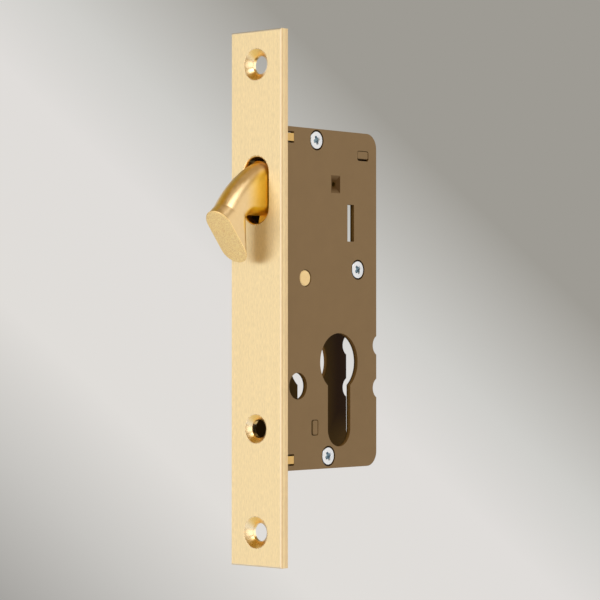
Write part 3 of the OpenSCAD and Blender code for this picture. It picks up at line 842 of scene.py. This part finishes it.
@dataclass(frozen=True)
class HookBolt:
    """The hook: a round-backed neck and beak on a flat web, with the hub and the tail, in millimetres.

    The beak's sections are long from front to back and round at both ends. The back is an arc about
    the pin and then a flat that lies level once the hook is drawn; the front runs along the neck's
    underside, round the throat's fillet and down the beak. Of the way from the web to the end face, the
    neck takes up neck_end, the fillet ends at beak_start and the back's arc at arc_end.
    """

    pivot: Span = (14.5, 6.1)
    throw_deg: float = 39.0
    width: float = 9.2
    back_r: float = 36.8
    tip_r: float = 21.75
    end_inset: float = 0.5
    neck_z: float = 18.3
    throat_y: float = 22.0
    fillet: float = 2.8
    neck_deg: float = 68.5
    neck_root_y: float = 7.0
    neck_end: float = 5 / 17
    beak_start: float = 11 / 17
    arc_end: float = 13 / 17
    flat_z: float = 35.3406
    web_w: float = 5.0
    web_inset: float = 0.9
    web_soft: float = 0.25
    hub_d: float = 12.0
    hub_soft: float = 0.3
    root_inset: float = 0.6
    pin_bore: float = 5.2
    hub_x: Span = (-2.85, 4.45)
    heel: tuple[Span, ...] = ((11.4, 8.5), (11.4, 14.0), (10.0, 19.3))
    scallop: Size = (12.0, 31.0, 15.0)
    tail: Span = (5.0, 20.3002)
    tail_deg: float = 42.7034
    soft: float = 0.32
    lip_deg: tuple[float, ...] = (0.0, 25.0, 50.0, 72.0, 90.0)
    steps: int = 124
    around: int = 24

    def curves(self) -> tuple[np.ndarray, np.ndarray, np.ndarray, np.ndarray]:
        """Works out the front and back curves that the sections join, from the web to the end face.

        Returns:
            The front's points and outward normals and the back's points and outward normals.
        """
        end_y = self.pivot[0] - self.end_inset
        tip = turned(np.array([-end_y, math.sqrt(self.tip_r**2 - end_y**2)]), self.throw_deg)
        beak = unit(tip - np.array([-self.throat_y, self.neck_z]))
        turn = 90.0 + math.degrees(math.asin(beak[0]))
        bend_y = self.fillet * math.tan(math.radians(turn / 2)) - self.throat_y
        centre = np.array([bend_y, self.neck_z - self.fillet])
        beak_top = centre - self.fillet * left_of(beak)
        start, bend = np.array([-self.neck_root_y, self.neck_z]), np.array([bend_y, self.neck_z])
        t = np.linspace(0.0, 1.0, self.steps)
        column = t[:, None]
        normals = polar(1.0, -90.0 - turn * share(t, self.neck_end, self.beak_start))
        neck = start + share(column, 0.0, self.neck_end) * (bend - start)
        down = beak_top + share(column, self.beak_start, 1.0) * (tip - beak_top)
        front = np.where(column < self.neck_end, neck, centre - self.fillet * normals)
        front = np.where(column > self.beak_start, down, front)
        end_deg = math.degrees(math.atan2(self.flat_z, end_y)) - self.throw_deg
        flat_deg = math.degrees(math.asin(self.flat_z / self.back_r)) - self.throw_deg
        angle = np.interp(t, (0.0, self.arc_end, 1.0), (self.neck_deg, flat_deg, end_deg))
        radius = np.maximum(self.back_r, self.flat_z / np.sin(np.radians(angle + self.throw_deg)))
        level = turned(np.array([0.0, 1.0]), self.throw_deg)
        back_normals = np.where(angle[:, None] < flat_deg, level, polar(1.0, angle))
        return front, normals, polar(radius, angle), back_normals

    def sections(self) -> np.ndarray:
        """Works out the beak's rings.

        A ring runs over the back's rounding from one side to the other and returns over the front's.
        With k from 0 to 180 degrees, x is half the width times cos k, and the point lies short of
        the back or front curve by the rounding's depth times 1 - sin k.

        Returns:
            Points, shape (steps, 2 * around + 2, 3).
        """
        front, front_n, back, back_n = self.curves()
        long = np.linalg.norm(back - front, axis=1, keepdims=True)
        t = (back - front) / long
        half = self.width / 2
        across_end = abs(float(t[-1] @ front_n[-1]))
        deep_front = half * across_end / np.abs(np.sum(t * front_n, axis=1, keepdims=True))
        deep_back = half / np.abs(np.sum(t * back_n, axis=1, keepdims=True))
        k = np.pi * np.arange(self.around + 1) / self.around
        fall = 1.0 - np.sin(k)
        s = np.concatenate([long - deep_back * fall, deep_front * fall], axis=1)
        x = np.concatenate([half * np.cos(k), -half * np.cos(k)])
        yz = front[:, None, :] + s[..., None] * t[:, None, :] + np.array(self.pivot)
        return np.concatenate([np.broadcast_to(x, s.shape)[..., None], yz], axis=2)

    def web(self) -> np.ndarray:
        """Works out the web's outline about the pin: the heel, the back's arc and the scallop behind it.

        The arc's end is where the two circles cross: along the line of their centres, and then square
        to it.

        Returns:
            Corners, shape (corners, 2).
        """
        r, root = self.back_r - self.web_inset, self.hub_d / 2 - self.root_inset
        y0, z0, bite_r = self.scallop
        centre = np.array([y0, z0])
        gap = math.hypot(y0, z0)
        along = (r**2 - bite_r**2 + gap**2) / (2 * gap)
        corner = (along * centre + math.sqrt(r**2 - along**2) * left_of(centre)) / gap
        corner_deg = math.degrees(math.atan2(corner[1], -corner[0]))
        back = polar(r, np.linspace(self.neck_deg + 1.0, corner_deg, 18))
        first = math.atan2(corner[1] - z0, corner[0] - y0)
        last = math.atan2(-math.sqrt(bite_r**2 - (y0 - root) ** 2), root - y0) + 2 * math.pi
        bite = arc(centre, bite_r, np.linspace(first, last, 26)[1:])
        heel = [[-y, z] for y, z in self.heel]
        return np.concatenate([[[-root, 0.0], *heel], back, bite, [[root, 0.0]]])

    def tail_outline(self) -> np.ndarray:
        """Works out the tail: a bar with a half-round end, turned to its angle below level.

        Returns:
            Corners about the pin, shape (corners, 2).
        """
        w, end = self.tail[0] / 2, self.tail[1]
        tip = arc((end - w, 0.0), w, np.linspace(-np.pi / 2, np.pi / 2, 25))
        return turned(np.concatenate([[[0.0, -w]], tip, [[0.0, w]]]), -self.tail_deg)

    def build(self) -> None:
        """Makes the hook. The end's last rings close in on its middle as they reach it, as a round lip."""
        shells = Shells()
        rings = self.sections()
        end = rings[-1]
        inward = unit(end.mean(axis=0) - end)
        step = unit(end - rings[-2]).mean(axis=0)
        turns = np.radians(self.lip_deg)[:, None, None]
        lip = end + self.soft * ((1.0 - np.cos(turns)) * inward - (1.0 - np.sin(turns)) * step)
        skin = np.concatenate([rings[:1 - len(lip)], lip])
        on_lip = np.arange(len(skin) - 1) >= len(skin) - len(lip)
        shells.skin(skin, np.repeat(on_lip.astype(int), skin.shape[1]), (0, 1))
        half = self.web_w / 2
        for outline in (self.web(), self.tail_outline()):
            shells.prism(outline + np.array(self.pivot), (-half, half), self.web_soft)
        inner, outer, c = self.pin_bore / 2, self.hub_d / 2, self.hub_soft
        low, high = self.hub_x
        shells.lathe(np.array([[low, inner], [low, outer - c], [low + c, outer], [high - c, outer],
                               [high, outer - c], [high, inner]]), self.pivot)
        shells.piece("hook_bolt", "hook", 30.0, Look.HOOK_BRASS, Look.HOOK_FACE_BRASS, body="hook")


@dataclass(frozen=True)
class Linings:
    """The machined surfaces of the forend's three countersunk holes and of the hook's slot, in millimetres.

    Each is a thin ring that lines its opening, a hair inside the forend's own faces. The runs are the
    distances between the centres of a slot's two ends, and 0 for round holes.
    """

    heights: tuple[float, ...] = (69.0, -38.5, -69.0, 31.8238)
    mouths: tuple[float, ...] = (9.3, 8.5, 9.3, 10.4)
    bores: tuple[float, ...] = (5.5, 5.5, 5.5, 9.8)
    runs: tuple[float, ...] = (0.0, 0.0, 0.0, 10.0336)
    thick: float = 3.0
    hair: float = 0.05
    steps: int = 128

    def ring(self, height: float, mouth: float, bore: float, run: float) -> np.ndarray:
        """Works out one lining as a profile turned about the opening's axis.

        The profile runs from the rounded lip on the forend's face down the 45 degree countersink, over
        a small round into the bore, to the back, and returns behind itself. A point (y, r) becomes
        (r cos t, y, z + r sin t), and half a slot's run is added to z above the axis and taken below it.

        Args:
            height: The opening's height.
            mouth: The countersink's diameter on the face.
            bore: The bore's diameter, or a slot's width.
            run: The opening's run.

        Returns:
            Points, shape (profile, steps, 3).
        """
        h, r0, r1 = self.hair, mouth / 2, bore / 2 - self.hair
        deep = r0 - bore / 2
        lip = [(-0.006, r0 + 0.1), (-0.01, r0 + 0.05), (0.012, r0 - 0.01), (0.05, r0 - 0.05 - h / 2)]
        throat = [(deep - 0.12, r1 + 0.1), (deep - 0.02, r1 + 0.02), (deep + 0.1, r1)]
        back = [(self.thick - 0.02, r1), (self.thick - 0.02, r1 + h), (deep + 0.1, r1 + h), (0.1, r0 + h)]
        y, r = np.hsplit(np.array(lip + throat + back), 2)
        turn = circle(self.steps)
        z = height + r * np.sin(turn) + run / 2 * np.where(turn < np.pi, 1.0, -1.0)
        return np.stack([r * np.cos(turn), np.broadcast_to(y, z.shape), z], axis=-1)

    def build(self) -> None:
        """Makes the four linings, which replace no node."""
        shells = Shells()
        for sizes in zip(self.heights, self.mouths, self.bores, self.runs):
            shells.skin(self.ring(*sizes))
        shells.piece("opening_linings", "forend", 40.0, Look.COUNTERSINK_BRASS, replaces=False)


@dataclass(frozen=True)
class Crossbar:
    """A crossbar between the plates, whose tenons show in the plates' windows, in millimetres.

    Body and tenon are sizes in Y and Z. The tenon is drawn smaller by trim, and its middle lies off the
    crossbar's by lean. A bore runs from front to back.
    """

    name: str
    node: str
    at: Span
    body: Span
    tenon: Span
    bore: float = 0.0
    trim: Span = (0.1, 0.25)
    lean: Span = (0.0, 0.1)
    inner: float = 5.3
    outer: float = 6.77
    corner: float = 0.6
    body_corner: float = 0.3
    soft: float = 0.22
    steps: int = 144

    def rounded(self, size: np.ndarray, corner: float, middle: np.ndarray) -> np.ndarray:
        """Works out an oblong with round corners: a corner's point is its centre plus r (cos t, sin t).

        Args:
            size: The oblong's size.
            corner: Its corners' radius.
            middle: Its middle.

        Returns:
            Corners, shape (corners, 2).
        """
        t = np.linspace(0.0, np.pi / 2, 9)[None, :] + np.arange(4)[:, None] * np.pi / 2
        centres = middle + np.array([[1, 1], [-1, 1], [-1, -1], [1, -1]]) * (size / 2 - corner)
        return arc(centres[:, None, :], corner, t).reshape(-1, 2)

    def bored(self) -> np.ndarray:
        """Works out the shoulder round its bore.

        At angle t the outer ring reaches the shoulder's sides: its radius is the lesser of half the
        width over |cos t| and half the height over |sin t|. The inner ring is the bore's circle.

        Returns:
            Points, shape (6, steps, 3), outer front to outer back and inner back to inner front.
        """
        flat = arc((0.0, 0.0), 1.0, circle(self.steps))
        half = np.array([self.inner, self.body[1] / 2])
        outer = flat * np.min(half / np.maximum(np.abs(flat), 1e-9), axis=1, keepdims=True)
        inner, ends = self.bore / 2 * flat, outer * 0.97
        depth = self.body[0] / 2
        rings = [(-depth, ends), (self.soft - depth, outer), (depth - self.soft, outer), (depth, ends),
                 (depth, inner), (-depth, inner)]
        y, z = self.at
        return np.stack([np.column_stack([r[:, 0], np.full(self.steps, y + along), z + r[:, 1]])
                         for along, r in rings])

    def build(self) -> None:
        """Makes the crossbar."""
        shells = Shells()
        at = np.array(self.at)
        tenon = self.rounded(np.subtract(self.tenon, self.trim), self.corner, at + self.lean)
        if self.bore:
            shells.skin(self.bored())
            shells.prism(tenon, (-self.outer, self.soft - self.inner), self.soft)
            shells.prism(tenon, (self.inner - self.soft, self.outer), self.soft)
        else:
            body = self.rounded(np.array(self.body), self.body_corner, at)
            shells.prism(body, (-self.inner, self.inner), self.soft)
            shells.prism(tenon, (-self.outer, self.outer), self.soft)
        shells.piece(self.name, self.node, 40.0, Look.TENON_PAINT)


@dataclass(frozen=True)
class CoverScrews:
    """Three countersunk screws with cross recesses, flush with the cover plate, in millimetres.

    Where a recess is deeper than painted_shade_depth, it has its own finish: zinc darkened as painted shade.
    """

    places: tuple[Span, ...] = ((19.7, 47.5), (38.9, 9.1), (25.0, -47.2))
    turns_deg: tuple[float, ...] = (20.0, 35.0, 28.0)
    face_x: float = 6.8
    head_d: float = 5.3
    thread_d: float = 3.0
    thread_deep: float = 0.28
    pitch: float = 0.5
    length: float = 8.0
    arm: float = 1.35
    arm_w: float = 0.6
    arm_taper: float = 0.35
    arm_fall: Span = (0.14, 0.7)
    recess: float = 0.7
    painted_shade_depth: float = 0.25
    crown: float = 0.1
    mouth_d: float = 6.2
    hole_d: float = 3.3
    hair: float = 0.03
    steps: int = 144

    def head(self, place: Span, turn_deg: float) -> tuple[np.ndarray, np.ndarray]:
        """Works out a screw's skin as rings about its axis, from the middle of the head to the point.

        The face falls from its crown to its rim with the square of the radius. The recess's depth is
        full in the cross's middle and falls to nothing towards the arms' ends and sides. Under the
        head the radius runs down the countersink and then along the thread, whose ridge climbs one
        pitch a turn.

        Args:
            place: The screw's y and z.
            turn_deg: How far the cross is turned.

        Returns:
            Points, shape (rings, steps, 3), and the slot of each face: 1 in the recess, 0 elsewhere.
        """
        angle = circle(self.steps)[None, :]
        rim, core = self.head_d / 2, self.thread_d / 2
        r = np.concatenate([[0.0], np.linspace(0.06, rim - 0.25, 40)])[:, None]
        a = angle - math.radians(turn_deg)
        u, v = np.abs(r * np.cos(a)), np.abs(r * np.sin(a))
        small, large = np.minimum(u, v), np.maximum(u, v)
        width = self.arm_w * (1.0 - self.arm_taper * large / self.arm)
        side = np.clip((width - small) / self.arm_fall[0] + 0.5, 0.0, 1.0)
        end = np.clip((self.arm - large) / self.arm_fall[1], 0.0, 1.0)
        depth = self.recess * side * side * (3 - 2 * side) * end**0.6
        drop = (self.head_d - self.thread_d) / 2
        along = np.arange(drop + 0.3, self.length - 0.4, self.pitch / 10)[:, None]
        ridge = np.abs(((along / self.pitch - angle / (2 * np.pi)) % 1.0) * 2 - 1)
        # How far below the face and how wide: the face, its rim, the countersink, the thread, the point
        skin = [(self.crown * (r / rim) ** 2 + depth, r), (0.07, rim - 0.1), (0.2, rim), (0.35, rim - 0.02),
                (drop + 0.15, core - 0.05), (along, core - self.thread_deep * ridge),
                (self.length - 0.25, 1.0), (self.length, 0.6)]
        down, radius = (np.concatenate([np.broadcast_arrays(*pair, angle)[part] for pair in skin])
                        for part in (0, 1))
        y, z = place[0] + radius * np.cos(angle), place[1] + radius * np.sin(angle)
        # Slot 1, painted shade, where the recess is deeper than painted_shade_depth
        sunk = np.zeros((len(down) - 1, self.steps), dtype=int)
        sunk[:len(r) - 1] = np.minimum(depth[:-1], depth[1:]) > self.painted_shade_depth
        return np.stack([self.face_x - down, y, z], axis=-1), sunk.ravel()

    def build(self) -> None:
        """Makes the screws, each over a thin skin of painted shade that lines its countersink in the plate.
        """
        shells = Shells()
        mouth, hole = self.mouth_d / 2, self.hole_d / 2
        top, bottom = self.face_x - 0.01, self.face_x - (mouth - hole)
        seat = np.array([[top, mouth - 0.01], [bottom, hole], [bottom, hole - self.hair],
                         [top, mouth - 0.01 - 2 * self.hair]])
        for place, turn in zip(self.places, self.turns_deg):
            shells.skin(*self.head(place, turn), (0, 0))
            shells.lathe(seat, place, (2,))
        looks = (Look.ZINC, Look.RECESS_ZINC, Look.DARK_OXIDE)
        shells.piece("cover_screw_set", "cover_screws", 35.0, *looks)


@dataclass(frozen=True)
class SlideSpring:
    """The locking slide's compression spring, in millimetres: round wire with closer end turns."""

    centre: Span = (-1.2, 41.3)
    span: Span = (32.1, 42.3)
    coil_d: float = 4.6
    wire_d: float = 0.6
    turns: int = 6
    end_pitch: float = 1.05
    running: float = 0.05
    travel: float = 4.8

    def build(self) -> None:
        """Makes the spring as a tube of wire along its helix.

        The helix is (x + r cos t, y + r sin t, z(t)), where z rises by the end pitch over the first
        and last turn and evenly between. The wire's ring lies in the plane of the helix's radius
        and the Z axis.
        """
        bottom, top = self.span
        turn = np.linspace(0.0, self.turns, self.turns * 40 + 1)[:, None]
        rise = top - bottom - self.wire_d - 2 * self.running
        pitch = (rise - 2 * self.end_pitch) / (self.turns - 2)
        ends = np.minimum(turn, 1.0) + np.maximum(turn - self.turns + 1, 0.0)
        z = bottom + self.running + self.wire_d / 2 + self.end_pitch * ends
        z = z + pitch * np.clip(turn - 1.0, 0.0, self.turns - 2)
        k, a = circle(14), 2.0 * np.pi * turn
        reach = (self.coil_d - self.wire_d) / 2 + self.wire_d / 2 * np.cos(k)
        x, y = self.centre[0] + reach * np.cos(a), self.centre[1] + reach * np.sin(a)
        shells = Shells()
        shells.skin(np.stack([x, y, z + self.wire_d / 2 * np.sin(k)], axis=-1), 0, (0, 0))
        piece = shells.piece("slide_spring_wire", "slide_spring", 50.0, Look.SPRING_WIRE)
        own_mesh(piece)


@dataclass(frozen=True)
class HookPin:
    """The hook pin, its ends chamfered where they lie flush with the plates, in millimetres."""

    centre: Span = (14.5, 6.1)
    diameter: float = 5.1
    half: float = 6.77
    shoulder: float = 5.3
    chamfer: float = 0.3
    ease: float = 0.12

    def build(self) -> None:
        """Makes the pin as a lathed bar, a little thinner where it lies in the plates."""
        r, c, x, w = self.diameter / 2, self.chamfer, self.half, self.shoulder
        thin = r - self.ease
        right = np.array([[w, r], [w, thin], [x - c / 2, thin], [x, thin - c], [x, 0.0]])
        shells = Shells()
        profile = np.concatenate([(right * [-1, 1])[::-1], right])
        # Slot 1, painted gap shade, on the thinner stretches where the pin lies in the plates
        shells.lathe(profile, self.centre, (0, 0, 1, 1, 0, 1, 1, 0, 0, 0))
        shells.piece("hook_pin_bar", "hook_pin", 25.0, Look.PIN_BRASS, Look.DARK_OXIDE)


@dataclass(frozen=True)
class Lock:
    """The whole lock: the nodes that stay, and the pieces that stand for the others."""

    frame: dict

    def dress_nodes(self) -> None:
        """Gives every CAD node that stays its finish."""
        worn = {
            Look.FOREND_BRASS: ["forend"],
            Look.LUG_BRASS: ["upper_lug", "lower_lug", "slide_bush"],
            Look.BRONZE_PAINT: ["back_plate", "cover_plate"],
            Look.TURNED_STEEL: ["upper_post", "rear_post", "lower_post", "pivot_washer", "rear_sleeve",
                                "locking_pin", "spring_stem"],
            Look.STAMPED_STEEL: ["locking_slide"],
        }
        for look, names in worn.items():
            for name in names:
                for slot in self.frame["nodes"][name].material_slots:
                    slot.material = look.material()
                LOG.info("%s: %s", name, look.material().name)

    def build(self) -> None:
        """Dresses the nodes and makes the pieces."""
        self.dress_nodes()
        upper = Crossbar("spring_crossbar", "spring_bar", (41.3, 44.1), (6.4, 3.6), (5.2, 2.7))
        lower = Crossbar("guide_crossbar", "screw_guide", (18.95, -38.5), (3.5, 11.0), (2.7, 4.6), 5.5,
                         (0.3, 0.1), (0.13, 0.0))
        for part in (HookBolt(), CoverScrews(), Linings(), upper, lower, SlideSpring(), HookPin()):
            part.build()


def corners(box: tuple) -> list[list[float]]:
    """Turns a box's two corners into plain lists."""
    return [[float(v) for v in corner] for corner in box]


def main() -> None:
    """Builds the camera, the studio and the lock in order."""
    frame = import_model()
    cad = corners(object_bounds())
    CameraSetup().build()
    Studio().build()
    Lock(frame).build()
    corners(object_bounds())


if __name__ == "__main__":
    logging.basicConfig(level=logging.INFO)
    main()
